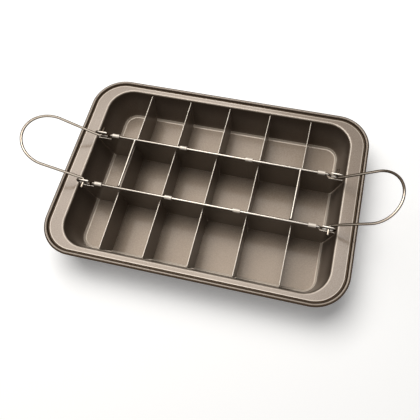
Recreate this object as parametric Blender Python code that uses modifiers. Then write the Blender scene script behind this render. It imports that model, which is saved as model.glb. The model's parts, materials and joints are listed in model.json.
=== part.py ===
"""Brownie pan with a lift-out loading tray and a divider rack that is carried by two wire handles.

The pan is drawn sheet steel: drafted walls, a flat flange that is wider at the short ends, a groove and a rolled rim.
The tray lies on its floor. The rack is an egg crate of half-lapped plates, two of which are curled round wire rails.
X runs along the pan, Y across it and Z up, from the middle of the pan's flat underside. Lengths are in metres.
"""

import math

import bmesh
import bpy

MM = 0.001

# Pan
OPENING_LENGTH = 330 * MM
OPENING_WIDTH = 230 * MM
OPENING_CORNER_RADIUS = 32 * MM
PAN_DEPTH = 45 * MM
WALL_INSET = 12 * MM
FLOOR_CORNER_RADIUS = 17 * MM
FLOOR_FILLET_RADIUS = 4 * MM
RIM_FILLET_RADIUS = 3 * MM
END_FLANGE_WIDTH = 17 * MM
SIDE_FLANGE_WIDTH = 6.8 * MM
FLANGE_CORNER_RADIUS = 36 * MM
GROOVE_WIDTH = 2.2 * MM
GROOVE_DEPTH = 0.9 * MM
BEAD_RADIUS = 2.3 * MM
BEAD_RISE = 2.6 * MM
BEAD_START_ANGLE = math.radians(185)
BEAD_END_ANGLE = math.radians(-120)
PAN_SHEET = 0.8 * MM

# Loading tray
TRAY_SHEET = 0.6 * MM
TRAY_CLEARANCE = 0.4 * MM
TRAY_LIP_HEIGHT = 2.8 * MM

# Divider plates
CROSS_DIVIDER_COUNT = 5
ROW_SPACING = 70.8 * MM
PLATE_SHEET = 0.8 * MM
PLATE_FLOOR_CLEARANCE = 0.3 * MM
PLATE_WALL_CLEARANCE = 1.2 * MM
PLATE_FOOT_RADIUS = 6 * MM
PLATE_SHOULDER_RADIUS = 2 * MM
LAP_CLEARANCE = 0.3 * MM

# Wire rails and the tabs that hold them
RAIL_DIAMETER = 3 * MM
RAIL_HEIGHT = 10.4 * MM
TAB_CLEARANCE = 0.3 * MM
TAB_LENGTH = 9 * MM
OUTER_TAB_INSET = 30.5 * MM
INNER_TAB_PLACE = 43 * MM
TAB_START_ANGLE = math.radians(-105)
TAB_WRAP_ANGLE = math.radians(335)
PLATE_STEP_MARGIN = 1.5 * MM
EYE_LENGTH = 19 * MM
EYE_INSET = 11 * MM
EYE_PLAY = 1.8 * MM
EYE_JOG_LENGTH = 6 * MM
WELD_GAP = 0.3 * MM
CROSS_WIRE_INSET = 1.5 * MM

# Handles
HANDLE_DIAMETER = 3.2 * MM
HANDLE_REACH = 87 * MM
HANDLE_SPLAY = 1.3 * MM
HANDLE_SIDE_CLEARANCE = 0.5 * MM
PIN_SEAT_CLEARANCE = 0.3 * MM
PIN_OVERHANG = 9 * MM
PIN_BEND_RADIUS = 3.5 * MM
LEFT_HANDLE_TILT = math.radians(27)
RIGHT_HANDLE_TILT = math.radians(37)

# Mesh values
WELD_DISTANCE = 0.01 * MM
SHARP_ANGLE = math.radians(40)

# How finely round forms are divided
CORNER_STEPS = 8
FILLET_STEPS = 4
BEAD_STEPS = 12
GROOVE_STEPS = 4
TAB_STEPS = 14
EYE_STEPS = 8
JOG_STEPS = 5
HANDLE_STEPS = 18
BEND_STEPS = 4

# Heights and places worked out from the sizes above
FLANGE_TOP = PAN_SHEET + PAN_DEPTH
WALL_DRAFT = math.atan2(WALL_INSET, PAN_DEPTH)
TRAY_FLOOR_TOP = PAN_SHEET + TRAY_CLEARANCE + TRAY_SHEET
PLATE_BOTTOM = TRAY_FLOOR_TOP + PLATE_FLOOR_CLEARANCE
RAIL_AXIS_HEIGHT = FLANGE_TOP + RAIL_HEIGHT
RAIL_RADIUS = RAIL_DIAMETER / 2
HANDLE_RADIUS = HANDLE_DIAMETER / 2
RAIL_PLACE = ROW_SPACING / 2
COLUMN_PITCH = OPENING_LENGTH / (CROSS_DIVIDER_COUNT + 1)
EYE_PLACE = OPENING_LENGTH / 2 - EYE_INSET
EYE_RADIUS = (RAIL_DIAMETER + HANDLE_DIAMETER + EYE_PLAY) / 2
OUTER_TAB_PLACE = OPENING_LENGTH / 2 - OUTER_TAB_INSET
TAB_INNER_RADIUS = RAIL_RADIUS + TAB_CLEARANCE
LONG_PLATE_TOP = RAIL_AXIS_HEIGHT - TAB_INNER_RADIUS - PLATE_SHEET / 2
LAP_HEIGHT = (PLATE_BOTTOM + FLANGE_TOP) / 2
LONG_LAP_HEIGHT = LAP_HEIGHT + LAP_CLEARANCE / 2
CROSS_LAP_HEIGHT = LAP_HEIGHT - LAP_CLEARANCE / 2
LAP_HALF_WIDTH = PLATE_SHEET / 2 + LAP_CLEARANCE
PIN_HEIGHT = RAIL_AXIS_HEIGHT + EYE_RADIUS - RAIL_RADIUS - HANDLE_RADIUS - PIN_SEAT_CLEARANCE
LEG_PLACE = RAIL_PLACE - RAIL_RADIUS - HANDLE_SIDE_CLEARANCE - HANDLE_RADIUS
HANDLE_END_RADIUS = LEG_PLACE + HANDLE_SPLAY


def clear_scene():
    """Removes what is in the scene, so that the script can be run again."""
    for thing in list(bpy.data.objects):
        bpy.data.objects.remove(thing, do_unlink=True)
    for group in list(bpy.data.collections):
        bpy.data.collections.remove(group)


def make_material(name, colour, roughness, metallic):
    """A Principled material with one colour."""
    material = bpy.data.materials.new(name)
    material.use_nodes = True
    shader = material.node_tree.nodes["Principled BSDF"]
    shader.inputs["Base Color"].default_value = (*colour, 1.0)
    shader.inputs["Roughness"].default_value = roughness
    shader.inputs["Metallic"].default_value = metallic
    material.diffuse_color = (*colour, 1.0)
    return material


def arc(centre_a, centre_b, radius, start, end, steps):
    """Points on a circular arc in a plane, both ends included."""
    points = []
    for i in range(steps + 1):
        angle = start + (end - start) * i / steps
        points.append((centre_a + radius * math.cos(angle), centre_b + radius * math.sin(angle)))
    return points


def fillet(before, corner, after, radius, steps):
    """An arc of the given radius that rounds the corner between two straight lines."""
    to_before = math.atan2(before[1] - corner[1], before[0] - corner[0])
    to_after = math.atan2(after[1] - corner[1], after[0] - corner[0])
    turn = (to_after - to_before + math.pi) % math.tau - math.pi
    half = abs(turn) / 2
    middle = to_before + turn / 2
    reach = radius / math.sin(half)
    centre_a = corner[0] + reach * math.cos(middle)
    centre_b = corner[1] + reach * math.sin(middle)
    sweep = math.pi - abs(turn)
    side = math.copysign(1, turn)
    start = to_before - side * math.pi / 2
    return arc(centre_a, centre_b, radius, start, start - side * sweep, steps)


def rounded_ring(half_length, half_width, radius, height):
    """The corners of a rounded rectangle at one height, anticlockwise."""
    ring = []
    centre_x = half_length - radius
    centre_y = half_width - radius
    for quarter, (side_x, side_y) in enumerate(((1, 1), (-1, 1), (-1, -1), (1, -1))):
        start = quarter * math.pi / 2
        corner = arc(side_x * centre_x, side_y * centre_y, radius, start, start + math.pi / 2, CORNER_STEPS)
        ring.extend((x, y, height) for x, y in corner)
    return ring


def tub_ring(offset, height):
    """A ring of the tub's wall or floor, at an offset outward from the edge of the opening."""
    taper = (OPENING_CORNER_RADIUS - FLOOR_CORNER_RADIUS) / WALL_INSET
    growth = taper if offset < 0 else 1
    radius = OPENING_CORNER_RADIUS + growth * offset
    return rounded_ring(OPENING_LENGTH / 2 + offset, OPENING_WIDTH / 2 + offset, radius, height)


def rim_ring(offset, height):
    """A ring of the groove and bead, at an offset outward from the outer edge of the flat flange."""
    half_length = OPENING_LENGTH / 2 + END_FLANGE_WIDTH + offset
    half_width = OPENING_WIDTH / 2 + SIDE_FLANGE_WIDTH + offset
    return rounded_ring(half_length, half_width, FLANGE_CORNER_RADIUS + offset, height)


def lofted_shell(name, rings, sheet, material, group, parent=None):
    """A sheet whose upper face is lofted through rings, from a flat floor outward, with its thickness below."""
    mesh = bpy.data.meshes.new(name)
    shape = bmesh.new()
    loops = [[shape.verts.new(point) for point in ring] for ring in rings]
    shape.faces.new(loops[0])
    for inner, outer in zip(loops, loops[1:]):
        count = len(inner)
        for i in range(count):
            j = (i + 1) % count
            shape.faces.new((inner[j], inner[i], outer[i], outer[j]))
    bmesh.ops.recalc_face_normals(shape, faces=shape.faces)
    if shape.faces[0].normal.z < 0:
        bmesh.ops.reverse_faces(shape, faces=shape.faces)
    shape.to_mesh(mesh)
    shape.free()
    mesh.shade_smooth()
    mesh.set_sharp_from_angle(angle=SHARP_ANGLE)
    thing = bpy.data.objects.new(name, mesh)
    thing.data.materials.append(material)
    wall = thing.modifiers.new("sheet", "SOLIDIFY")
    wall.thickness = sheet
    wall.offset = -1
    wall.use_even_offset = True
    group.objects.link(thing)
    thing.parent = parent
    return thing


def make_pan(material, group):
    """The drawn tub, its flange, the groove round it and the rolled bead."""
    floor_edge = (-WALL_INSET, PAN_SHEET)
    top_edge = (0, FLANGE_TOP)
    on_floor = (-OPENING_WIDTH / 2, PAN_SHEET)
    on_flange = (SIDE_FLANGE_WIDTH, FLANGE_TOP)
    profile = fillet(on_floor, floor_edge, top_edge, FLOOR_FILLET_RADIUS, FILLET_STEPS)
    profile += fillet(floor_edge, top_edge, on_flange, RIM_FILLET_RADIUS, FILLET_STEPS)
    rings = [tub_ring(offset, height) for offset, height in profile]

    # The bead is part of a circle, and the groove dips on its way to where the circle starts.
    bead_centre = FLANGE_TOP + BEAD_RISE - BEAD_RADIUS
    middle = GROOVE_WIDTH - BEAD_RADIUS * math.cos(BEAD_START_ANGLE)
    bead = arc(middle, bead_centre, BEAD_RADIUS, BEAD_START_ANGLE, BEAD_END_ANGLE, BEAD_STEPS)
    rings.append(rim_ring(0, FLANGE_TOP))
    landing = bead[0][1]
    for i in range(1, GROOVE_STEPS):
        share = i / GROOVE_STEPS
        dip = GROOVE_DEPTH * math.sin(math.pi * share)
        rings.append(rim_ring(GROOVE_WIDTH * share, FLANGE_TOP + (landing - FLANGE_TOP) * share - dip))
    rings += [rim_ring(offset, height) for offset, height in bead]
    return lofted_shell("pan", rings, PAN_SHEET, material, group)


def make_tray(material, group, parent):
    """The flat loading tray: the pan's floor and fillet again, one clearance further in, up to the top of its lip."""
    inward = TRAY_CLEARANCE + TRAY_SHEET
    floor = PAN_SHEET + inward
    shift = inward / math.cos(WALL_DRAFT) - inward * math.tan(WALL_DRAFT)
    lip_top = floor + TRAY_LIP_HEIGHT
    floor_edge = (-WALL_INSET - shift, floor)
    wall_top = (floor_edge[0] + TRAY_LIP_HEIGHT * math.tan(WALL_DRAFT), lip_top)
    on_floor = (-OPENING_WIDTH / 2, floor)
    profile = fillet(on_floor, floor_edge, wall_top, FLOOR_FILLET_RADIUS - inward, FILLET_STEPS)
    profile.append(wall_top)
    rings = [tub_ring(offset, height) for offset, height in profile]
    return lofted_shell("loading_tray", rings, TRAY_SHEET, material, group, parent)


def wall_place(half_opening, height):
    """Where a plate's end lies at a height: parallel to the drafted wall, one clearance inside it."""
    return half_opening - PLATE_WALL_CLEARANCE - (FLANGE_TOP - height) * math.tan(WALL_DRAFT)


def slot(place, mouth, end):
    """Four corners of a half-lap slot, in the order in which an outline that runs towards +X meets them."""
    return [
        (place - LAP_HALF_WIDTH, mouth),
        (place - LAP_HALF_WIDTH, end),
        (place + LAP_HALF_WIDTH, end),
        (place + LAP_HALF_WIDTH, mouth),
    ]


def mirrored(half_outline):
    """Adds the left half to the right half of an outline that starts and ends on the middle line."""
    return half_outline + [(-a, b) for a, b in reversed(half_outline)]


def plate_end(half_opening, shoulder_height):
    """The right-hand end of a plate: round foot, drafted edge and round shoulder."""
    foot = (wall_place(half_opening, PLATE_BOTTOM), PLATE_BOTTOM)
    shoulder = (wall_place(half_opening, shoulder_height), shoulder_height)
    inward = (0, PLATE_BOTTOM)
    outline = fillet(inward, foot, shoulder, PLATE_FOOT_RADIUS, FILLET_STEPS)
    outline += fillet(foot, shoulder, (0, shoulder_height), PLATE_SHOULDER_RADIUS, FILLET_STEPS)
    return outline


def flat_plate(name, outline, material, group):
    """A flat sheet with the given outline, standing up along X, as a filled curve."""
    curve = bpy.data.curves.new(name, "CURVE")
    curve.dimensions = "2D"
    curve.fill_mode = "BOTH"
    curve.extrude = PLATE_SHEET / 2
    spline = curve.splines.new("POLY")
    spline.points.add(len(outline) - 1)
    for point, (a, b) in zip(spline.points, outline):
        point.co = (a, b, 0, 1)
    spline.use_cyclic_u = True
    plate = bpy.data.objects.new(name, curve)
    plate.data.materials.append(material)
    group.objects.link(plate)
    return plate


def column_places():
    """Where the cross dividers stand along the pan, from left to right."""
    middle = (CROSS_DIVIDER_COUNT - 1) / 2
    return [(i - middle) * COLUMN_PITCH for i in range(CROSS_DIVIDER_COUNT)]


def make_cross_divider(number, place, material, group, parent):
    """A plate across the pan, slotted from its top edge where the two long dividers pass."""
    outline = plate_end(OPENING_WIDTH / 2, FLANGE_TOP)
    outline += reversed(slot(RAIL_PLACE, FLANGE_TOP, CROSS_LAP_HEIGHT))
    plate = flat_plate(f"cross_divider_{number}", mirrored(outline), material, group)
    plate.rotation_euler = (math.pi / 2, 0, math.pi / 2)
    plate.location = (place, 0, 0)
    plate.parent = parent
    return plate


def long_outline():
    """The long divider's outline: slotted from below, stepped up under the rail, low under the eyes."""
    outline = []
    for place in column_places():
        if place >= 0:
            outline += slot(place, PLATE_BOTTOM, LONG_LAP_HEIGHT)[2 if place == 0 else 0:]
    outline += plate_end(OPENING_LENGTH / 2, FLANGE_TOP)
    step_end = OUTER_TAB_PLACE + TAB_LENGTH / 2 + PLATE_STEP_MARGIN
    step_rise = LONG_PLATE_TOP - FLANGE_TOP
    outline.append((step_end + step_rise / 2, FLANGE_TOP))
    outline.append((step_end, LONG_PLATE_TOP))
    return mirrored(outline)


def curve_to_mesh(thing):
    """Replaces a curve object by a closed mesh object of the same name and place."""
    name = thing.name
    bpy.context.view_layer.update()
    graph = bpy.context.evaluated_depsgraph_get()
    mesh = bpy.data.meshes.new_from_object(thing.evaluated_get(graph))
    shape = bmesh.new()
    shape.from_mesh(mesh)
    bmesh.ops.remove_doubles(shape, verts=shape.verts, dist=WELD_DISTANCE)
    shape.to_mesh(mesh)
    shape.free()
    solid = bpy.data.objects.new(name, mesh)
    solid.matrix_world = thing.matrix_world
    for group in thing.users_collection:
        group.objects.link(solid)
    bpy.data.objects.remove(thing, do_unlink=True)
    solid.name = name
    return solid


def tab_outline():
    """The section of a tab: an open ring that leaves the plate's top edge and wraps the rail."""
    inner = arc(0, 0, TAB_INNER_RADIUS, TAB_START_ANGLE, TAB_START_ANGLE + TAB_WRAP_ANGLE, TAB_STEPS)
    outer = arc(0, 0, TAB_INNER_RADIUS + PLATE_SHEET, TAB_START_ANGLE, TAB_START_ANGLE + TAB_WRAP_ANGLE, TAB_STEPS)
    return inner + outer[::-1]


def make_long_divider(name, side, material, group, cutters, parent):
    """A plate along the pan with four tabs curled round the rail above it."""
    plate = flat_plate(name, long_outline(), material, group)
    plate.rotation_euler = (math.pi / 2, 0, 0)
    plate.location = (0, side * RAIL_PLACE, 0)
    plate = curve_to_mesh(plate)
    for place in (-OUTER_TAB_PLACE, -INNER_TAB_PLACE, INNER_TAB_PLACE, OUTER_TAB_PLACE):
        tab = flat_plate("tab", tab_outline(), material, cutters)
        tab.data.extrude = TAB_LENGTH / 2
        tab.rotation_euler = (math.pi / 2, 0, math.pi / 2)
        tab.location = (place, side * RAIL_PLACE, RAIL_AXIS_HEIGHT)
        tab = curve_to_mesh(tab)
        tab.display_type = "WIRE"
        tab.hide_render = True
        join = plate.modifiers.new("tab", "BOOLEAN")
        join.operation = "UNION"
        join.object = tab
    plate.parent = parent
    return plate


def wire(name, path, diameter, material, group, parent):
    """A round wire bent along a path, with closed ends."""
    curve = bpy.data.curves.new(name, "CURVE")
    curve.dimensions = "3D"
    curve.bevel_depth = diameter / 2
    curve.bevel_resolution = 2
    curve.use_fill_caps = True
    spline = curve.splines.new("POLY")
    spline.points.add(len(path) - 1)
    for point, place in zip(spline.points, path):
        point.co = (*place, 1)
    spline.use_smooth = True
    thing = bpy.data.objects.new(name, curve)
    thing.data.materials.append(material)
    group.objects.link(thing)
    thing.parent = parent
    return thing


def eye_path():
    """The right-hand eye of a rail, in X and Z about the rail's axis, from the rail outward and back over itself."""
    inner_end = EYE_PLACE - EYE_LENGTH / 2
    turn_place = EYE_PLACE + EYE_LENGTH / 2 - RAIL_RADIUS - EYE_RADIUS
    path = []
    for i in range(JOG_STEPS + 1):
        share = i / JOG_STEPS
        drop = EYE_RADIUS * (1 - math.cos(math.pi * share)) / 2
        path.append((inner_end - EYE_JOG_LENGTH / 2 + EYE_JOG_LENGTH * share, -drop))
    path += arc(turn_place, 0, EYE_RADIUS, -math.pi / 2, math.pi / 2, EYE_STEPS)
    path.append((inner_end, EYE_RADIUS))
    return path


def make_rail(name, side, material, group, parent):
    """A wire rail with an upright eye at each end."""
    right = [(x, 0, z) for x, z in eye_path()]
    left = [(-x, y, z) for x, y, z in reversed(right)]
    rail = wire(name, left + right, RAIL_DIAMETER, material, group, parent)
    rail.location = (0, side * RAIL_PLACE, RAIL_AXIS_HEIGHT)
    return rail


def make_cross_wire(name, place, material, group, parent):
    """A short wire between the two rails."""
    reach = RAIL_PLACE - RAIL_RADIUS - WELD_GAP
    tie = wire(name, [(0, -reach, 0), (0, reach, 0)], RAIL_DIAMETER, material, group, parent)
    tie.location = (place, 0, RAIL_AXIS_HEIGHT)
    return tie


def handle_path(side):
    """A bail from one pin tip to the other, flat in X and Y, with the pins on the Y axis."""
    tip = RAIL_PLACE + PIN_OVERHANG
    loop_centre = HANDLE_REACH - HANDLE_END_RADIUS
    half = [(0, tip)]
    bend_centre = LEG_PLACE + PIN_BEND_RADIUS
    half += arc(PIN_BEND_RADIUS, bend_centre, PIN_BEND_RADIUS, math.pi, 3 * math.pi / 2, BEND_STEPS)
    half += arc(loop_centre, 0, HANDLE_END_RADIUS, math.pi / 2, 0, HANDLE_STEPS // 2)
    other = [(a, -b) for a, b in reversed(half[:-1])]
    return [(side * a, b, 0) for a, b in half + other]


def make_handle(name, side, tilt, material, group, parent):
    """A wire bail that swings about its pins, which lie in the eyes at one end of the rack."""
    handle = wire(name, handle_path(side), HANDLE_DIAMETER, material, group, parent)
    handle.location = (side * EYE_PLACE, 0, PIN_HEIGHT)
    handle.rotation_euler = (0, -side * tilt, 0)
    return handle


def empty(name, group, parent=None):
    """An empty that carries the pieces of one moving body."""
    guide = bpy.data.objects.new(name, None)
    guide.empty_display_size = COLUMN_PITCH / 2
    group.objects.link(guide)
    guide.parent = parent
    return guide


def main():
    """Builds the pan, the tray and the rack with its handles."""
    clear_scene()
    group = bpy.data.collections.new("brownie_pan_with_divider")
    cutters = bpy.data.collections.new("tab_shapes")
    bpy.context.scene.collection.children.link(group)
    bpy.context.scene.collection.children.link(cutters)

    pan_coating = make_material("pan_coating", (0.36, 0.30, 0.25), 0.38, 0.6)
    tray_coating = make_material("tray_coating", (0.33, 0.27, 0.23), 0.42, 0.6)
    divider_coating = make_material("divider_coating", (0.24, 0.20, 0.16), 0.40, 0.5)
    rail_steel = make_material("rail_steel", (0.80, 0.77, 0.73), 0.25, 1.0)
    handle_steel = make_material("handle_steel", (0.66, 0.60, 0.54), 0.28, 1.0)

    tray_body = empty("tray_lift", group)
    rack_body = empty("rack_lift", group, tray_body)

    make_pan(pan_coating, group)
    make_tray(tray_coating, group, tray_body)
    places = column_places()
    for number, place in enumerate(places, start=1):
        make_cross_divider(number, place, divider_coating, group, rack_body)
    for word, side in (("near", -1), ("far", 1)):
        make_long_divider(f"long_divider_{word}", side, divider_coating, group, cutters, rack_body)
        make_rail(f"rail_{word}", side, rail_steel, group, rack_body)
    make_cross_wire("cross_wire_left", places[0] + CROSS_WIRE_INSET, rail_steel, group, rack_body)
    make_cross_wire("cross_wire_right", places[-1] - CROSS_WIRE_INSET, rail_steel, group, rack_body)
    make_handle("handle_left", -1, LEFT_HANDLE_TILT, handle_steel, group, rack_body)
    make_handle("handle_right", 1, RIGHT_HANDLE_TILT, handle_steel, group, rack_body)


if __name__ == "__main__":
    main()
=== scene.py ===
"""Looks of a brownie pan with a lift-out divider rack: finely divided sheet and wire, coating and steel."""

import json
import math

import bmesh
import bpy
import numpy as np
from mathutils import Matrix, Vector


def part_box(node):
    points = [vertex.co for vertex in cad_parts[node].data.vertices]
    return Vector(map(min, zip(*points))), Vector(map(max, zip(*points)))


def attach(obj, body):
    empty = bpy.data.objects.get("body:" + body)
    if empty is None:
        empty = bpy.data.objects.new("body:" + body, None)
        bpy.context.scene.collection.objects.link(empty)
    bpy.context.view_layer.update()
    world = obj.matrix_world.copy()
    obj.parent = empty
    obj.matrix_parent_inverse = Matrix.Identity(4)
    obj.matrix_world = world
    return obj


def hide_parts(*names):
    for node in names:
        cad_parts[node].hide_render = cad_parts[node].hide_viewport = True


bl_info = {
    "name": "Brownie Pan With Divider",
    "version": (1, 0, 0),
    "blender": (4, 5, 0),
    "location": "3D View > Sidebar > Bakeware",
    "description": "Dresses the pan, its loading tray, the divider rack and the wire handles",
    "category": "Object",
}

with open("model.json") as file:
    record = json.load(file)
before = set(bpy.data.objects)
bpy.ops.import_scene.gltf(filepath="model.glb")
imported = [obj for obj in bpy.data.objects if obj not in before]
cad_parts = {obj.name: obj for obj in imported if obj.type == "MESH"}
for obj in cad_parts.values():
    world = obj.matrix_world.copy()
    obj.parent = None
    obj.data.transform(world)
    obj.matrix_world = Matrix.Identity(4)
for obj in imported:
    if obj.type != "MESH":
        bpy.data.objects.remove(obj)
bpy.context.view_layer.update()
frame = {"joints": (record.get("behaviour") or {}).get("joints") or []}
MM = 0.001

PAN_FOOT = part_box("pan")[0].z
PLATE_LOW, PLATE_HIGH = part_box("cross_divider_3")
RAIL_LOW, RAIL_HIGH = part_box("rail_far")
TIE_LOW, TIE_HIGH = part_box("cross_wire_right")
JOINTS = {joint["name"]: joint for joint in frame["joints"]}

RAIL_AXIS_HEIGHT = (TIE_LOW.z + TIE_HIGH.z) / 2
RAIL_PLACE = (RAIL_LOW.y + RAIL_HIGH.y) / 2


def number(name, default, text, **kind):
    """A number property."""
    return bpy.props.FloatProperty(name=name, description=text, default=default, **kind)


def length(name, default, text):
    """A length property in metres."""
    return number(name, default, text, unit="LENGTH", precision=5)


def share(name, default, text):
    """A property between nothing and all."""
    return number(name, default, text, min=0, max=1, subtype="FACTOR")


def colour(name, default, text):
    """A colour property."""
    return bpy.props.FloatVectorProperty(name=name, description=text, default=default, size=3, min=0, max=1,
                                         subtype="COLOR")


class PanSizes(bpy.types.PropertyGroup):
    """Sizes of the tub and its rim."""

    opening_length: length("Opening length", 330 * MM, "Length of the opening at the flange")
    opening_width: length("Opening width", 230 * MM, "Width of the opening at the flange")
    opening_corner: length("Opening corner", 32 * MM, "Radius of the opening's corners")
    floor_corner: length("Floor corner", 17 * MM, "Radius of the floor's corners")
    wall_inset: length("Wall inset", 12 * MM, "How far the wall comes in between flange and floor")
    depth: length("Depth", 45 * MM, "Depth of the tub inside")
    floor_fillet: length("Floor fillet", 4 * MM, "Radius where the wall meets the floor")
    rim_fillet: length("Rim fillet", 3 * MM, "Radius where the wall meets the flange")
    end_flange: length("End flange", 17 * MM, "Flat flange at the short ends")
    side_flange: length("Side flange", 6.8 * MM, "Flat flange at the long sides")
    flange_corner: length("Flange corner", 36 * MM, "Radius of the flat flange's corners")
    groove_width: length("Groove width", 2.2 * MM, "Width of the groove inside the bead")
    groove_depth: length("Groove depth", 0.9 * MM, "Depth of the groove inside the bead")
    bead_radius: length("Bead radius", 2.3 * MM, "Outside radius of the rolled bead")
    bead_rise: length("Bead rise", 2.6 * MM, "How far the bead stands above the flange")
    sheet: length("Sheet", 0.8 * MM, "Thickness of the sheet")


class TraySizes(bpy.types.PropertyGroup):
    """Sizes of the loading tray."""

    sheet: length("Sheet", 0.6 * MM, "Thickness of the sheet")
    clearance: length("Clearance", 0.4 * MM, "Gap to the pan below")
    lip_height: length("Lip height", 2.8 * MM, "Height of the lip above the tray's floor")


class DividerSizes(bpy.types.PropertyGroup):
    """Sizes of the divider plates and of the tabs curled round the rails."""

    sheet: length("Sheet", PLATE_HIGH.x - PLATE_LOW.x, "Thickness of the plates")
    bottom: length("Bottom", PLATE_LOW.z, "Height of the plates' lower edge")
    top: length("Top", PLATE_HIGH.z, "Height of the cross dividers' upper edge")
    wall_clearance: length("Wall clearance", 1.2 * MM, "Gap between a plate's end and the wall")
    foot_radius: length("Foot radius", 6 * MM, "Radius of the lower corners")
    shoulder_radius: length("Shoulder radius", 2 * MM, "Radius of the upper corners")
    pitch: length("Pitch", 55 * MM, "Distance between cross dividers")
    lap_clearance: length("Lap clearance", 0.3 * MM, "Gap on each side of a half-lapped plate")
    tab_clearance: length("Tab clearance", 0.3 * MM, "Gap between a tab and the rail")
    tab_length: length("Tab length", 9 * MM, "Length of a tab along the rail")
    outer_tab: length("Outer tab", 134.5 * MM, "Place of the outer tabs")
    inner_tab: length("Inner tab", 43 * MM, "Place of the inner tabs")
    step_margin: length("Step margin", 1.5 * MM, "Plate left beyond the outer tab")
    edge_round: length("Edge round", 0.14 * MM, "Rounding of the sheet's cut edges")


class WireSizes(bpy.types.PropertyGroup):
    """Sizes of the rails, the cross wires and the handles."""

    rail_diameter: length("Rail diameter", RAIL_HIGH.y - RAIL_LOW.y, "Thickness of the rails and cross wires")
    handle_diameter: length("Handle diameter", 3.2 * MM, "Thickness of the handles")
    eye_length: length("Eye length", 19 * MM, "Length of an eye from its mouth to its end")
    eye_jog: length("Eye jog", 6 * MM, "Length over which the rail bends down into the eye")
    eye_spacing: length("Eye spacing", 8 * MM, "Distance between the two strands of an eye")
    reach: length("Reach", 87 * MM, "Distance from a handle's pins to its far end")
    leg_place: length("Leg place", 31.8 * MM, "Half the distance between a handle's legs at the pins")
    splay: length("Splay", 1.3 * MM, "How much further apart the legs are at the loop")
    pin_overhang: length("Pin overhang", 9 * MM, "How far a pin reaches beyond the rail's axis")
    pin_bend: length("Pin bend", 3.5 * MM, "Radius of the bend between leg and pin")
    left_tilt: number("Left tilt", math.radians(27), "The left handle's angle over level", subtype="ANGLE")
    right_tilt: number("Right tilt", math.radians(37), "The right handle's angle over level", subtype="ANGLE")


class Finish(bpy.types.PropertyGroup):
    """Colours and gloss of the coating and the wire."""

    coating: colour("Coating", (0.157, 0.121, 0.094), "Satin coating of the pan")
    tray_coating: colour("Tray coating", (0.156, 0.120, 0.090), "Satin coating of the loading tray")
    plate_coating: colour("Plate coating", (0.168, 0.131, 0.099), "Satin coating of the divider plates")
    # Pale tone for the coating's clouds, flecks and the plates' lower strip, and painted highlight on the
    # pan's rim and the tray's lip
    pale_and_highlight_coating: colour("Worn coating", (0.68, 0.60, 0.51), "Coating where edges have rubbed thin")
    cut_edge: colour("Cut edge", (0.56, 0.50, 0.43), "Cut edges of the sheet")
    tab_coating: colour("Tab coating", (0.58, 0.52, 0.45), "Coating of the curled tabs, rubbed bright")
    rail_steel: colour("Rail steel", (0.52, 0.48, 0.43), "Bright wire of the rails")
    handle_steel: colour("Handle steel", (0.50, 0.425, 0.345), "Wire of the handles")
    edge_tint: colour("Edge tint", (0.30, 0.24, 0.18), "How the coating mirrors where it is seen edge-on")
    # Painted dark reflection on the wires' flanks, also their specular tint
    painted_flank_reflection: colour("Dark steel", (0.085, 0.065, 0.048), "Flanks of the wire, which mirror the dark")
    coating_metal: share("Coating metal", 0.35, "How metallic the coating is")
    coating_roughness: share("Coating roughness", 0.42, "Roughness of the coating")
    tray_glaze: share("Tray glaze", 0.2, "How much clear glaze lies on the loading tray")
    glaze: share("Glaze", 0.55, "How much clear glaze lies on the coating")
    glaze_roughness: share("Glaze roughness", 0.13, "Roughness of the glaze")
    # A paler strip along the plates' lower edges
    pale_foot_height: length("Rubbed height", 0.9 * MM, "Height of the rubbed strip at the plates' lower edges")
    # Painted shade in the rim's groove, round the bead, on the drafted wall and on cut edges under the wires
    painted_shade: colour("Pooled coating", (0.060, 0.042, 0.028), "Brown of pooled coating and shaded cut edges")
    # How the painted dark reflection spreads from the wires' middles to their flanks
    rail_core: share("Rail core", 0.01, "How far the rails' full brightness reaches to their flanks")
    rail_flank: share("Rail flank", 0.26, "Where the rails are fully dark, between middle and edge-on")
    handle_core: share("Handle core", 0.09, "How far the handles' full brightness reaches to their flanks")
    handle_flank: share("Handle flank", 0.16, "Where the handles are fully dark, between middle and edge-on")
    rail_roughness: share("Rail roughness", 0.28, "Roughness of the rails and cross wires")
    handle_roughness: share("Handle roughness", 0.3, "Roughness of the handles")


class StageSettings(bpy.types.PropertyGroup):
    """Floor, light and camera."""

    floor_colour: colour("Floor colour", (0.97, 0.97, 0.97), "Colour of the floor")
    floor_size: length("Floor size", 12.0, "Side of the floor")
    lens: number("Lens", 40.0, "Focal length on a 36 mm sensor, in millimetres")
    shift: number("Shift", -0.0722, "Sideways shift of the picture")
    key_power: number("Key power", 32.5, "Power of the soft box above", unit="POWER")
    world_strength: number("World strength", 0.08, "Light from all round")


# Fineness of the surfaces
CORNER_STEPS = 20
FILLET_STEPS = 7
BEAD_STEPS = 22
GROOVE_STEPS = 7
FLOOR_RINGS = 7
WALL_RINGS = 5
LIP_RINGS = 3
TAB_TURN_STEPS = 25
TAB_LENGTH_STEPS = 2
EYE_JOG_STEPS = 11
EYE_TURN_STEPS = 16
PIN_BEND_STEPS = 8
LOOP_STEPS = 24
RAIL_SIDES = 20
HANDLE_SIDES = 24
WIRE_END_RINGS = 4
TIE_STEPS = 6
WELD_STEPS = 8
CUT_EDGE_STEPS = 2
MERGE_DISTANCE = 0.002 * MM
SHORTEST_EDGE = 0.001 * MM
SHARP_FOLD = math.radians(42)
CUT_EDGE_FOLD = math.radians(50)

# The cross dividers' numbers and those under a cross wire, and the material slots of a plate's edges and tabs
CROSS_DIVIDERS = (1, 2, 3, 4, 5)
UNDER_CROSS_WIRES = (1, 5)
EDGE_SLOT = 1
TAB_SLOT = 2

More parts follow.
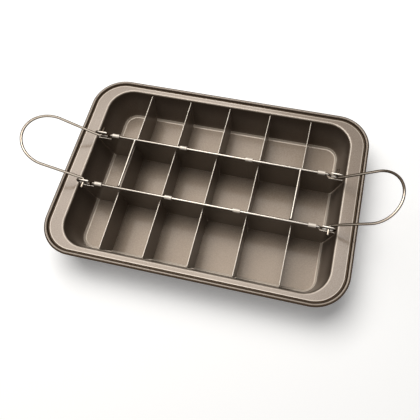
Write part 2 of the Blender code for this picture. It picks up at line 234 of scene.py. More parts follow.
# Places of the rings that hold the flange flat, from its round edge at the opening and from its outer edge
INNER_LAND = np.array([0.5, 1.2]) * MM
OUTER_LAND = np.array([-2.0, -1.3, -0.5]) * MM

# Angles at which the bead's curl starts and ends, and a tab's curl round its rail
BEAD_START = math.radians(185)
BEAD_END = math.radians(-120)
TAB_START = math.radians(-100)
TAB_END = math.radians(232)

# Rounding of a wire's end as a share of its radius. A cross wire's weld: how far it goes into the rail, where
# it starts and where the plain wire ends, as shares of half the wire, and how much of its radius it swells.
WIRE_END_ROUND = 0.45
WELD_OVERLAP = 0.3 * MM
WELD_FROM = 0.93
TIE_PLAIN_UP_TO = 0.9
WELD_SWELL = 0.34

# Painted highlight on the rim: how much, where its middle lies and how far it reaches, and from which share
# of the bead's rise its crown carries it
OPENING_HIGHLIGHT = 0.42
OPENING_HIGHLIGHT_PLACE = 1.2 * MM
OPENING_HIGHLIGHT_REACH = 1.4 * MM
FLANGE_HIGHLIGHT = 0.55
FLANGE_HIGHLIGHT_PLACE = -0.5 * MM
FLANGE_HIGHLIGHT_REACH = 0.8 * MM
CROWN_HIGHLIGHT = 0.3
CROWN_HIGHLIGHT_REACH = 1.1 * MM
CROWN_FROM = 0.6

# Painted shade on the rim: where it starts and is full on each flank, as shares of the bead's radius from its
# middle, how much lies on the crown, and over what width it starts at the groove
INNER_FLANK = (-0.5, -0.75)
OUTER_FLANK = (-0.1, 0.2)
CROWN_SHADE = 0.3
GROOVE_EDGE = 0.3 * MM

# Painted shade on the drafted wall: how much, how much is lost lower down and where, as shares of the depth.
# It starts below the opening within shares of the round edge's radius.
WALL_SHADE = 0.85
WALL_SHADE_LOST = 0.6
WALL_FADE = (0.07, 0.42)
WALL_START = (0.1, 0.4)

# Painted highlight on the tray's lip: where it sets in, as shares of the lip's height, how much, and how it
# grows upward
LIP_HIGHLIGHT_START = (0.02, 0.06)
LIP_HIGHLIGHT = 0.65
LIP_HIGHLIGHT_GROWTH = 0.9


# Shapes worked out as arrays

def ramp(value, start, end):
    """Nothing up to the start, one from the end on, and a straight line between them."""
    return np.clip((value - start) / (end - start), 0, 1)


def peak(distance, reach):
    """One where the distance is nothing, and a straight line down to nothing at the reach on either side."""
    return np.clip(1 - np.abs(distance) / reach, 0, 1)


def unit(rows):
    """Each row of numbers divided by its length."""
    return rows / np.linalg.norm(rows, axis=-1, keepdims=True)


def arc(centre, radius, start, end, steps):
    """Centre plus radius times cosine and sine of evenly spaced angles, as rows of two numbers."""
    angle = np.linspace(start, end, steps + 1)
    return np.stack([centre[0] + radius * np.cos(angle), centre[1] + radius * np.sin(angle)], 1)


def fillet(before, corner, after, radius, steps):
    """The arc that touches both lines of a corner. Its centre lies on the bisector, as far from the corner as
    the radius over the sine of half the corner's angle."""
    to_before = math.atan2(before[1] - corner[1], before[0] - corner[0])
    to_after = math.atan2(after[1] - corner[1], after[0] - corner[0])
    turn = (to_after - to_before + math.pi) % math.tau - math.pi
    middle = to_before + turn / 2
    reach = radius / math.sin(abs(turn) / 2)
    centre = (corner[0] + reach * math.cos(middle), corner[1] + reach * math.sin(middle))
    side = math.copysign(1, turn)
    start = to_before - side * math.pi / 2
    return arc(centre, radius, start, start - side * (math.pi - abs(turn)), steps)


def rounded_rings(half_length, half_width, radius, height):
    """Rounded rectangles, a row for each: corner centre plus radius times cosine and sine of the angle."""
    quarter = np.linspace(0, math.pi / 2, CORNER_STEPS + 1)
    angle = np.concatenate([quarter + i * math.pi / 2 for i in range(4)])[None, :]
    side_x = np.repeat([1, -1, -1, 1], CORNER_STEPS + 1)[None, :]
    side_y = np.repeat([1, 1, -1, -1], CORNER_STEPS + 1)[None, :]
    radius = radius[:, None]
    x = side_x * (half_length[:, None] - radius) + radius * np.cos(angle)
    y = side_y * (half_width[:, None] - radius) + radius * np.sin(angle)
    return np.stack([x, y, np.broadcast_to(height[:, None], x.shape)], 2)


def grid_faces(rows, columns, close_columns=True):
    """Four corners for each cell of a grid of points numbered row by row."""
    row = np.arange(rows - 1)[:, None] * columns
    column = np.arange(columns if close_columns else columns - 1)[None, :]
    next_column = (column + 1) % columns
    corners = [row + column, row + next_column, row + columns + next_column, row + columns + column]
    return np.stack([c.ravel() for c in np.broadcast_arrays(*corners)], 1)


def sheet_shell(table, sheet):
    """A closed sheet: rings of the upper face outward, then the same rings moved by the sheet along the
    section's normal, inward. The table's columns are half length, half width, radius and height."""
    half_width, height = table[:, 1], table[:, 3]
    along = unit(np.stack([np.gradient(half_width), np.gradient(height)], 1))
    out, up = -along[:, 1], along[:, 0]
    shift = np.stack([out, out, out, up], 1) * sheet
    lower = table - shift
    lower[:, 2] = np.maximum(lower[:, 2], 0)
    lower[0, :3] = table[0, :3]
    return rounded_rings(*np.concatenate([table, lower[::-1]]).T)


def tube(path, radius, plane_normal, sides=RAIL_SIDES):
    """A round wire: each point of the path plus radius times cosine of the section's normal and sine of the
    plane's normal. The path is flat. Its ends are discs with an edge that is a quarter of a circle."""
    path = np.asarray(path, float)
    ends = np.linspace(math.pi / 2, 0, WIRE_END_RINGS, endpoint=False)
    inward = WIRE_END_ROUND * radius * (1 - np.sin(ends))
    head = path[0] + np.outer(inward, unit(path[1] - path[0]))
    tail = path[-1] - np.outer(inward, unit(path[-1] - path[-2]))
    end_radius = radius * (1 - WIRE_END_ROUND * (1 - np.cos(ends)))
    centre = np.concatenate([head[:1], head, path[1:-1], tail[::-1], tail[:1]])
    size = np.concatenate([[0], end_radius, np.full(len(path) - 2, radius), end_radius[::-1], [0]])
    tangent = np.gradient(np.concatenate([head, path[1:-1], tail[::-1]]), axis=0)
    tangent = unit(np.concatenate([tangent[:1], tangent, tangent[-1:]]))
    normal = np.cross(plane_normal, tangent)
    angle = np.linspace(0, math.tau, sides, endpoint=False)
    ring = (np.cos(angle)[None, :, None] * normal[:, None, :]
            + np.sin(angle)[None, :, None] * np.array(plane_normal))
    return centre[:, None, :] + size[:, None, None] * ring


def make_mesh(name, points, faces=None, smooth=True, masks=None):
    """A mesh object with its place in its points, doubles merged and faces outward. Points without faces are
    rings, each joined to the next. Each mask gives each point a share of painted highlight or of painted
    shade."""
    faces = grid_faces(*points.shape[:2]) if faces is None else faces
    mesh = bpy.data.meshes.new(name)
    mesh.from_pydata(points.reshape(-1, 3).tolist(), [], faces.tolist())
    for label, values in (masks or {}).items():
        mesh.attributes.new(label, "FLOAT", "POINT").data.foreach_set("value", values)
    thing = bpy.data.objects.new(name, mesh)
    bpy.context.scene.collection.objects.link(thing)
    tidy_mesh(mesh, smooth)
    return thing


def tidy_mesh(mesh, smooth):
    """Merges points that coincide, turns the faces outward and sets the shading."""
    shape = bmesh.new()
    shape.from_mesh(mesh)
    bmesh.ops.remove_doubles(shape, verts=shape.verts, dist=MERGE_DISTANCE)
    bmesh.ops.dissolve_degenerate(shape, edges=shape.edges, dist=SHORTEST_EDGE)
    bmesh.ops.recalc_face_normals(shape, faces=shape.faces)
    shape.to_mesh(mesh)
    shape.free()
    if smooth:
        mesh.shade_smooth()
        mesh.set_sharp_from_angle(angle=SHARP_FOLD)
    mesh.update()


def dress(thing, node, body, slot, *materials):
    """Puts the materials on a piece, which then stands for its node and rides on its body. The slot is not
    used.
    """
    for material in materials:
        thing.data.materials.append(material)
    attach(thing, body)
    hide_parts(node)


# Pan and tray

def tub_table(offset, height, sizes):
    """Half length, half width, radius and height of rings at offsets from the edge of the opening."""
    taper = (sizes.opening_corner - sizes.floor_corner) / sizes.wall_inset
    radius = sizes.opening_corner + np.where(offset < 0, taper, 1) * offset
    return np.stack([sizes.opening_length / 2 + offset, sizes.opening_width / 2 + offset, radius, height], 1)


def rim_table(offset, height, sizes):
    """The same at offsets from the outer edge of the flat flange."""
    half_length = sizes.opening_length / 2 + sizes.end_flange + offset
    half_width = sizes.opening_width / 2 + sizes.side_flange + offset
    return np.stack([half_length, half_width, sizes.flange_corner + offset, height], 1)


def floor_table(edge):
    """Rings of a flat floor: they shrink evenly from its edge until both long sides meet in one line."""
    step = np.linspace(1, 0, FLOOR_RINGS, endpoint=False)[:, None]
    middle = np.array([[edge[0] - edge[1], 0, 0, edge[3]]])
    return middle + (edge - middle) * (1 - step)


def pan_table(sizes):
    """The pan's section: floor, fillet, drafted wall, fillet, flat flange, groove and rolled bead."""
    top = sizes.sheet + sizes.depth
    floor_edge = (-sizes.wall_inset, sizes.sheet)
    top_edge = (0, top)
    floor_middle = (-sizes.opening_width / 2, sizes.sheet)
    low = fillet(floor_middle, floor_edge, top_edge, sizes.floor_fillet, FILLET_STEPS)
    high = fillet(floor_edge, top_edge, (sizes.side_flange, top), sizes.rim_fillet, FILLET_STEPS)
    rise = np.linspace(0, 1, WALL_RINGS + 2)[1:-1, None]
    wall = low[-1] + (high[0] - low[-1]) * rise
    inner_land = high[-1] + np.stack([INNER_LAND, np.zeros(len(INNER_LAND))], 1)
    tub = np.concatenate([low, wall, high, inner_land])
    tub = tub_table(tub[:, 0], tub[:, 1], sizes)
    middle = sizes.groove_width - sizes.bead_radius * math.cos(BEAD_START)
    bead = arc((middle, top + sizes.bead_rise - sizes.bead_radius), sizes.bead_radius, BEAD_START, BEAD_END,
               BEAD_STEPS)
    step = np.linspace(0, 1, GROOVE_STEPS, endpoint=False)
    dip = sizes.groove_depth * np.sin(math.pi * step)
    groove = np.stack([sizes.groove_width * step, top + (bead[0, 1] - top) * step - dip], 1)
    outer_land = np.stack([OUTER_LAND, np.full(len(OUTER_LAND), top)], 1)
    rim = np.concatenate([outer_land, groove, bead])
    rim = rim_table(rim[:, 0], rim[:, 1], sizes)
    return np.concatenate([floor_table(tub[0]), tub, rim])


def ring_masks(rings, points):
    """Masks given ring by ring for the upper face, spread over the points of both faces."""
    around = points.shape[1]
    return {name: np.repeat(np.concatenate([ring, ring[::-1]]), around) for name, ring in rings.items()}


def painted_highlight_rings(table, sizes):
    """Painted highlight of each ring: a peak on the flange just beyond the opening's round edge, one at the
    flange's outer edge, and one on the bead's crown. Where they meet, the greatest counts."""
    edge = table[:, 1] - sizes.opening_width / 2
    out = edge - sizes.side_flange
    crown = out - sizes.groove_width - sizes.bead_radius
    flange_top = sizes.sheet + sizes.depth
    upper = table[:, 3] > flange_top - sizes.rim_fillet
    above = table[:, 3] > flange_top + CROWN_FROM * sizes.bead_rise
    opening = OPENING_HIGHLIGHT * peak(edge - OPENING_HIGHLIGHT_PLACE, OPENING_HIGHLIGHT_REACH) * upper
    flange = FLANGE_HIGHLIGHT * peak(out - FLANGE_HIGHLIGHT_PLACE, FLANGE_HIGHLIGHT_REACH)
    bead = CROWN_HIGHLIGHT * peak(crown, CROWN_HIGHLIGHT_REACH) * above
    return np.maximum(np.maximum(opening, flange), bead)


def painted_shade_rings(table, sizes):
    """Painted shade of each ring: full in the groove, on the bead's flanks and under it, slight on its crown,
    and on the drafted wall most just below the opening and less lower down."""
    flange_top = sizes.sheet + sizes.depth
    out = table[:, 1] - sizes.opening_width / 2 - sizes.side_flange
    beyond = (out - sizes.groove_width - sizes.bead_radius) / sizes.bead_radius
    flank = np.maximum(np.maximum(ramp(beyond, *INNER_FLANK), CROWN_SHADE), ramp(beyond, *OUTER_FLANK))
    below = table[:, 3] < flange_top + sizes.bead_rise - sizes.bead_radius
    rim = np.maximum(flank, below * (beyond > -1)) * ramp(out, 0, GROOVE_EDGE)
    height = table[:, 3] - sizes.sheet
    down = sizes.depth - height
    wall = ramp(height, sizes.floor_fillet, 2 * sizes.floor_fillet)
    wall *= ramp(down, WALL_START[0] * sizes.rim_fillet, WALL_START[1] * sizes.rim_fillet)
    lost = WALL_SHADE_LOST * ramp(down, WALL_FADE[0] * sizes.depth, WALL_FADE[1] * sizes.depth)
    return np.maximum(rim, (WALL_SHADE - lost) * wall * (out < 0))


def lip_highlight_rings(table, tray):
    """Painted highlight of the tray's rings: none on its flat floor, and most of it from where the floor
    bends up into the lip, growing to all of it on the way up."""
    rise = (table[:, 3] - table[0, 3]) / tray.lip_height
    return ramp(rise, *LIP_HIGHLIGHT_START) * np.clip(LIP_HIGHLIGHT + LIP_HIGHLIGHT_GROWTH * rise, 0, 1)


def tray_table(pan, tray):
    """The tray's section: the pan's floor and fillet one clearance further in, up to the top of its lip."""
    draft = math.atan2(pan.wall_inset, pan.depth)
    inward = tray.clearance + tray.sheet
    floor = pan.sheet + inward
    shift = inward / math.cos(draft) - inward * math.tan(draft)
    edge = (-pan.wall_inset - shift, floor)
    lip = (edge[0] + tray.lip_height * math.tan(draft), floor + tray.lip_height)
    low = fillet((-pan.opening_width / 2, floor), edge, lip, pan.floor_fillet - inward, FILLET_STEPS)
    rise = np.linspace(0, 1, LIP_RINGS + 1)[1:, None]
    section = np.concatenate([low, low[-1] + (np.array(lip) - low[-1]) * rise])
    table = tub_table(section[:, 0], section[:, 1], pan)
    return np.concatenate([floor_table(table[0]), table])


# Divider plates

def wall_place(half_opening, height, pan, plates):
    """Where a plate's end lies at a height: parallel to the drafted wall, one clearance inside it."""
    draft = pan.wall_inset / pan.depth
    return half_opening - plates.wall_clearance - (plates.top - height) * draft


def plate_end(half_opening, pan, plates):
    """The right-hand end of a plate: round foot, drafted edge and round shoulder."""
    foot = (wall_place(half_opening, plates.bottom, pan, plates), plates.bottom)
    shoulder = (wall_place(half_opening, plates.top, pan, plates), plates.top)
    return np.concatenate([fillet((0, plates.bottom), foot, shoulder, plates.foot_radius, FILLET_STEPS),
                           fillet(foot, shoulder, (0, plates.top), plates.shoulder_radius, FILLET_STEPS)])


def slot_corners(places, mouth, end, half):
    """Four corners of a slot at each place, in the order in which an outline towards +X meets them."""
    across = np.array([-half, -half, half, half])
    up = np.array([mouth, end, end, mouth])
    return np.stack([(np.asarray(places)[:, None] + across).ravel(), np.tile(up, len(places))], 1)


def mirrored(half_outline):
    """The outline with its left half added in reverse order."""
    return np.concatenate([half_outline, half_outline[::-1] * [-1, 1]])


def cross_outline(pan, plates):
    """A cross divider: slotted from its upper edge where the long dividers pass."""
    lap = (plates.bottom + plates.top) / 2 - plates.lap_clearance / 2
    half = plates.sheet / 2 + plates.lap_clearance
    slot = slot_corners([RAIL_PLACE], plates.top, lap, half)[::-1]
    return mirrored(np.concatenate([plate_end(pan.opening_width / 2, pan, plates), slot]))


def long_top(plates, wires):
    """Height of the long dividers' upper edge, in the middle of the curled tabs' sheet."""
    return RAIL_AXIS_HEIGHT - wires.rail_diameter / 2 - plates.tab_clearance - plates.sheet / 2


def long_outline(pan, plates, wires):
    """A long divider: slotted from below, full height under the rail and low under the eyes. It is mirrored,
    so it starts in the middle slot, whose two left corners are left out."""
    lap = (plates.bottom + plates.top) / 2 + plates.lap_clearance / 2
    half = plates.sheet / 2 + plates.lap_clearance
    places = [0, plates.pitch, 2 * plates.pitch]
    slots = slot_corners(places, plates.bottom, lap, half)[2:]
    step_end = plates.outer_tab + plates.tab_length / 2 + plates.step_margin
    rise = long_top(plates, wires) - plates.top
    step = np.array([[step_end + rise / 2, plates.top], [step_end, plates.top + rise]])
    return mirrored(np.concatenate([slots, plate_end(pan.opening_length / 2, pan, plates), step]))


def cut_sheet(name, outline, patches, plates):
    """A flat outline and curled patches as one open surface, made a sheet with round edges by Solidify and
    Bevel. Its face has the first material, and its cut edges and curled patches have slots of their own."""
    points = outline
    faces = [list(range(len(outline)))]
    for patch in patches:
        faces += (grid_faces(*patch.shape[:2], close_columns=False) + len(points)).tolist()
        points = np.concatenate([points, patch.reshape(-1, 3)])
    mesh = bpy.data.meshes.new(name)
    mesh.from_pydata(points.tolist(), [], faces)
    mesh.polygons.foreach_set("material_index", [0] + [TAB_SLOT] * (len(faces) - 1))
    mesh.shade_smooth()
    mesh.update()
    thing = bpy.data.objects.new(name, mesh)
    bpy.context.scene.collection.objects.link(thing)
    wall = thing.modifiers.new("sheet", "SOLIDIFY")
    wall.thickness = plates.sheet
    wall.offset = 0
    wall.material_offset_rim = EDGE_SLOT
    edge = thing.modifiers.new("edges", "BEVEL")
    edge.width = plates.edge_round
    edge.segments = CUT_EDGE_STEPS
    edge.limit_method = "ANGLE"
    edge.angle_limit = CUT_EDGE_FOLD
    edge.harden_normals = True
    return thing


def tab_patch(place, side, plates, wires):
    """A tab round the rail: radius times cosine and sine of the angle across, and its length along X."""
    radius = wires.rail_diameter / 2 + plates.tab_clearance + plates.sheet / 2
    angle = np.linspace(TAB_START, TAB_END, TAB_TURN_STEPS + 1)[:, None]
    along = np.linspace(-plates.tab_length / 2, plates.tab_length / 2, TAB_LENGTH_STEPS + 1)[None, :]
    y = side * RAIL_PLACE + radius * np.cos(angle)
    z = RAIL_AXIS_HEIGHT + radius * np.sin(angle)
    return np.stack(np.broadcast_arrays(place + along, y, z), 2)


# Wire

def eye_path(wires):
    """The right-hand eye in X and Z about the rail's axis: an S bend down, out, half a turn up and back. The
    S is one minus the cosine of half a turn, along the bend."""
    place = JOINTS["right_handle_swing"]["pos_m"][0]
    radius = wires.eye_spacing / 2
    mouth = place - wires.eye_length / 2
    turn = place + wires.eye_length / 2 - wires.rail_diameter / 2 - radius
    step = np.linspace(0, 1, EYE_JOG_STEPS + 1)
    jog = np.stack([mouth + wires.eye_jog * (step - 0.5), -radius * (1 - np.cos(math.pi * step)) / 2], 1)
    half_turn = arc((turn, 0), radius, -math.pi / 2, math.pi / 2, EYE_TURN_STEPS)
    return np.concatenate([jog, half_turn, [[mouth + wires.rail_diameter / 2, radius]]])


def rail_points(side, wires):
    """A rail from one eye to the other, as a closed wire."""
    right = eye_path(wires)
    flat = np.concatenate([(right * [-1, 1])[::-1], right])
    path = np.stack([flat[:, 0], np.full(len(flat), side * RAIL_PLACE), flat[:, 1] + RAIL_AXIS_HEIGHT], 1)
    return tube(path, wires.rail_diameter / 2, (0, 1, 0))


def handle_points(side, tilt, wires):
    """A bail: pins along Y, a bend, a leg and half a circle, turned about the pins by its tilt."""
    tip = RAIL_PLACE + wires.pin_overhang
    end_radius = wires.leg_place + wires.splay
    bend = arc((wires.pin_bend, wires.leg_place + wires.pin_bend), wires.pin_bend, math.pi, 1.5 * math.pi,
               PIN_BEND_STEPS)
    loop = arc((wires.reach - end_radius, 0), end_radius, math.pi / 2, 0, LOOP_STEPS)
    half = np.concatenate([[[0, tip]], bend, loop])
    flat = np.concatenate([half, half[-2::-1] * [1, -1]])
    joint = JOINTS["left_handle_swing" if side < 0 else "right_handle_swing"]
    out = side * flat[:, 0] * math.cos(tilt)
    path = np.stack([out, flat[:, 1], flat[:, 0] * math.sin(tilt)], 1) + np.array(joint["pos_m"])
    normal = (-side * math.sin(tilt), 0, math.cos(tilt))
    return tube(path, wires.handle_diameter / 2, normal, sides=HANDLE_SIDES)


def tie_points(place, wires):
    """A cross wire whose ends swell into welds: the radius grows with the square of the way into a weld."""
    reach = RAIL_PLACE - wires.rail_diameter / 2 + WELD_OVERLAP
    weld = np.linspace(WELD_FROM, 1, WELD_STEPS + 1)
    plain = np.linspace(-TIE_PLAIN_UP_TO, TIE_PLAIN_UP_TO, TIE_STEPS + 1)
    across = np.concatenate([-weld[::-1], plain, weld])
    radius = wires.rail_diameter / 2 * (1 + WELD_SWELL * ramp(np.abs(across), WELD_FROM, 1) ** 2)
    size = np.concatenate([[0], radius, [0]])
    across = np.concatenate([across[:1], across, across[-1:]]) * reach
    angle = np.linspace(0, math.tau, RAIL_SIDES, endpoint=False)
    x = place + size[:, None] * np.cos(angle)
    z = RAIL_AXIS_HEIGHT + size[:, None] * np.sin(angle)
    return np.stack(np.broadcast_arrays(x, across[:, None], z), 2)


# Materials

# Scales of the noises, how each shows in tone and gloss, and the relief of coating and wire. Over the deep
# span of its mask, painted shade turns the coating metallic. At an even blend, facing is one minus the
# angle's cosine.
GRAIN_SCALE = 900.0
CLOUD_SCALE = 14.0
GRAIN_NOISE = {"Detail": 2.0, "Roughness": 0.6}
CLOUD_NOISE = {"Detail": 3.0, "Roughness": 0.5}
DENT_NOISE = {"Scale": 9.0, "Detail": 1.0}
GRAIN_HEIGHT = 0.012
CLOUD_SPAN = (0.3, 0.7)
CLOUD_TONE = (0.0, 0.06)
FLECK_SPAN = (0.35, 0.7)
FLECK_TONE = (0.0, 0.11)
GLOSS_SPAN = (0.3, 0.7)
COATING_GLOSS = (-0.05, 0.05)
COATING_RELIEF = {"Strength": 0.3, "Distance": 0.4 * MM}
DEEP_SHADE_SPAN = (0.86, 1.0)
MARK_NOISE = {"Scale": 2600.0, "Detail": 2.0, "Roughness": 0.65}
PATCH_NOISE = {"Scale": 70.0, "Detail": 3.0, "Roughness": 0.55}
PATCH_SPAN = (0.35, 0.75)
PATCH_TONE = (0.0, 0.4)
WIRE_GLOSS = (-0.06, 0.08)
WIRE_RELIEF = {"Strength": 0.08, "Distance": 0.05 * MM}
EVEN_BLEND = 0.5
WHITE = (1, 1, 1, 1)


def new_tree(name):
    """A new material with its node tree and its shader."""
    material = bpy.data.materials.new(name)
    material.use_nodes = True
    return material, material.node_tree, material.node_tree.nodes["Principled BSDF"]


def node_group(name, scales, outputs):
    """An empty shader node group with a vector input, an input for each scale, and float outputs."""
    group = bpy.data.node_groups.new(name, "ShaderNodeTree")
    group.interface.new_socket("Vector", in_out="INPUT", socket_type="NodeSocketVector")
    for label, value in scales.items():
        socket = group.interface.new_socket(label, in_out="INPUT", socket_type="NodeSocketFloat")
        socket.default_value = value
    for label in outputs:
        group.interface.new_socket(label, in_out="OUTPUT", socket_type="NodeSocketFloat")
    return group, group.nodes.new("NodeGroupInput").outputs, group.nodes.new("NodeGroupOutput")


def feed(tree, node, values):
    """Gives each named input of a node its value, by a link where the value is another node's output."""
    for key, value in values.items():
        if isinstance(value, bpy.types.NodeSocket):
            tree.links.new(value, node.inputs[key])
        else:
            node.inputs[key].default_value = value


def add_node(tree, kind, values=None, **settings):
    """A node with settings on itself, and values or links on its inputs."""
    node = tree.nodes.new(kind)
    for key, value in settings.items():
        setattr(node, key, value)
    feed(tree, node, values or {})
    return node


def calculated(tree, operation, *values, clamped=False):
    """The result of a mathematical operation on one or two values."""
    node = add_node(tree, "ShaderNodeMath", dict(enumerate(values)), operation=operation, use_clamp=clamped)
    return node.outputs[0]


def noise(tree, place, values):
    """A noise read at a place, with values for its scale, detail and roughness."""
    return add_node(tree, "ShaderNodeTexNoise", {"Vector": place, **values}).outputs["Fac"]


def mapped(tree, value, span, result, smooth=False):
    """A value carried from a span to a result, in a straight line or a smooth S, and held at both ends."""
    kind = "SMOOTHSTEP" if smooth else "LINEAR"
    values = {"Value": value, "From Min": span[0], "From Max": span[1]}
    values.update({"To Min": result[0], "To Max": result[1]})
    return add_node(tree, "ShaderNodeMapRange", values, interpolation_type=kind).outputs[0]


def mixed(tree, first, second, factor):
    """The first colour mixed by a factor towards the second, which is three numbers."""
    values = {"A": first, "B": (*second, 1), "Factor": factor}
    return add_node(tree, "ShaderNodeMix", values, data_type="RGBA").outputs["Result"]


def near_middle(tree, place, axis, limit):
    """One where the distance from the origin along an axis is under the limit, and nothing beyond it."""
    along = add_node(tree, "ShaderNodeSeparateXYZ", {"Vector": place}).outputs[axis]
    return calculated(tree, "LESS_THAN", calculated(tree, "ABSOLUTE", along), limit)


def coating_group():
    """Fine pebbled grain, slow cloudiness and a slight unevenness of the sheet, from Object coordinates."""
    if "Coating grain" in bpy.data.node_groups:
        return bpy.data.node_groups["Coating grain"]
    scales = {"Grain scale": GRAIN_SCALE, "Cloud scale": CLOUD_SCALE}
    tree, given, end = node_group("Coating grain", scales, ("Grain", "Cloud", "Height"))
    grain = noise(tree, given["Vector"], {"Scale": given["Grain scale"], **GRAIN_NOISE})
    cloud = noise(tree, given["Vector"], {"Scale": given["Cloud scale"], **CLOUD_NOISE})
    dents = noise(tree, given["Vector"], DENT_NOISE)
    height = calculated(tree, "ADD", calculated(tree, "MULTIPLY", grain, GRAIN_HEIGHT), dents)
    feed(tree, end, {"Grain": grain, "Cloud": cloud, "Height": height})
    return tree


def coating_material(name, base, finish, glaze=None, bands=()):
    """Satin coating: base colour clouded and lightened by grain, then lightened by the mesh's own mask of
    painted highlight and darkened by its mask of painted shade. The roughness comes from the same grain,
    under a clear glaze that is taken off where shade is painted, with a fine bump. Each band names an axis, a
    distance from the origin along it, and the colour up to that distance."""
    material, tree, shader = new_tree(name)
    place = add_node(tree, "ShaderNodeTexCoord").outputs["Object"]
    grain = add_node(tree, "ShaderNodeGroup", {"Vector": place}, node_tree=coating_group()).outputs
    painted_highlight = add_node(tree, "ShaderNodeAttribute", attribute_name="painted_highlight").outputs["Fac"]
    painted_shade = add_node(tree, "ShaderNodeAttribute", attribute_name="painted_shade").outputs["Fac"]
    clouds = mapped(tree, grain["Cloud"], CLOUD_SPAN, CLOUD_TONE)
    flecks = mapped(tree, grain["Grain"], FLECK_SPAN, FLECK_TONE)
    tone = mixed(tree, (*base, 1), finish.pale_and_highlight_coating, clouds)
    tone = mixed(tree, tone, finish.pale_and_highlight_coating, flecks)
    # Painted highlight on rims and the lip, then painted shade in the groove, on the wall and on shaded edges
    tone = mixed(tree, tone, finish.pale_and_highlight_coating, painted_highlight)
    tone = mixed(tree, tone, finish.painted_shade, painted_shade)
    for axis, limit, band in bands:
        tone = mixed(tree, tone, band, near_middle(tree, place, axis, limit))
    gloss = [finish.coating_roughness + change for change in COATING_GLOSS]
    clear = finish.glaze if glaze is None else glaze
    bump = add_node(tree, "ShaderNodeBump", {"Height": grain["Height"], **COATING_RELIEF})
    # Where shade is painted the glaze goes and the coating turns metallic, so it mirrors dark
    feed(tree, shader, {
        "Base Color": tone,
        "Metallic": mapped(tree, painted_shade, DEEP_SHADE_SPAN, (finish.coating_metal, 1)),
        "Roughness": mapped(tree, grain["Grain"], GLOSS_SPAN, gloss),
        "Normal": bump.outputs["Normal"],
        "Specular Tint": (*finish.edge_tint, 1),
        "Coat Weight": mapped(tree, painted_shade, (0, 1), (clear, 0)),
        "Coat Roughness": finish.glaze_roughness,
    })
    return material


def wire_group():
    """Fine drawing marks round a wire and slow patches along it, from Object coordinates."""
    if "Drawn wire" in bpy.data.node_groups:
        return bpy.data.node_groups["Drawn wire"]
    tree, given, end = node_group("Drawn wire", {}, ("Marks", "Patches"))
    feed(tree, end, {"Marks": noise(tree, given["Vector"], MARK_NOISE),
                     "Patches": noise(tree, given["Vector"], PATCH_NOISE)})
    return tree


def wire_material(name, base, dull, flank, turn, roughness):
    """Bright wire: metal with painted dark reflection towards its flanks, its colour and gloss varying with
    marks and patches. The painted dark grows while one minus the cosine of the angle to the view runs through
    the two shares in turn."""
    material, tree, shader = new_tree(name)
    place = add_node(tree, "ShaderNodeTexCoord").outputs["Object"]
    marks = add_node(tree, "ShaderNodeGroup", {"Vector": place}, node_tree=wire_group()).outputs
    facing = add_node(tree, "ShaderNodeLayerWeight", {"Blend": EVEN_BLEND}).outputs["Facing"]
    tone = mixed(tree, (*base, 1), dull, mapped(tree, marks["Patches"], PATCH_SPAN, PATCH_TONE))
    # Painted dark reflection on the flanks, by how edge-on the wire is seen
    tone = mixed(tree, tone, flank, mapped(tree, facing, turn, (0, 1), smooth=True))
    gloss = [roughness + change for change in WIRE_GLOSS]
    bump = add_node(tree, "ShaderNodeBump", {"Height": marks["Marks"], **WIRE_RELIEF})
    feed(tree, shader, {
        "Base Color": tone,
        "Metallic": 1.0,
        "Roughness": mapped(tree, marks["Marks"], GLOSS_SPAN, gloss),
        "Normal": bump.outputs["Normal"],
        "Specular Tint": (*flank, 1),
    })
    return material


def material_named(name, maker, *values, **settings):
    """The material of that name, made when it is first asked for."""
    return bpy.data.materials.get(name) or maker(name, *values, **settings)


def plate_materials(finish, edge, *bands):
    """A plate's coating, paler along its lower edge, then its cut edges with their bands, and its tabs."""
    foot = ("Z", PLATE_LOW.z + finish.pale_foot_height, finish.pale_and_highlight_coating)
    coat = material_named("satin_plate_coating", coating_material, finish.plate_coating, finish, bands=[foot])
    cut = material_named(edge, coating_material, finish.cut_edge, finish, bands=bands)
    tab = material_named("rubbed_tab", coating_material, finish.tab_coating, finish)
    return coat, cut, tab


def rail_wire(finish):
    """The bright wire of the rails and the cross wires."""
    turn = (finish.rail_core, finish.rail_flank)
    return material_named("drawn_rail_wire", wire_material, finish.rail_steel, finish.handle_steel,
                          finish.painted_flank_reflection, turn, finish.rail_roughness)


def handle_wire(finish):
    """The duller wire of the handles."""
    turn = (finish.handle_core, finish.handle_flank)
    return material_named("drawn_handle_wire", wire_material, finish.handle_steel, finish.rail_steel,
                          finish.painted_flank_reflection, turn, finish.handle_roughness)


# Operators

class BAKEWARE_OT_pan(bpy.types.Operator):
    """Makes the drawn pan with its rolled rim"""

    bl_idname = "bakeware.pan"
    bl_label = "Pan"

    def execute(self, context):
        sizes, finish = context.scene.pan_sizes, context.scene.pan_finish
        table = pan_table(sizes)
        points = sheet_shell(table, sizes.sheet)
        # Masks of painted shade on the rim and wall, and of painted highlight along the rim's edges and crown
        masks = ring_masks({"painted_shade": painted_shade_rings(table, sizes), "painted_highlight": painted_highlight_rings(table, sizes)}, points)
        thing = make_mesh("baking_pan", points, masks=masks)
        coat = material_named("satin_pan_coating", coating_material, finish.coating, finish)
        dress(thing, "pan", "pan", "pan_coating", coat)
        return {"FINISHED"}


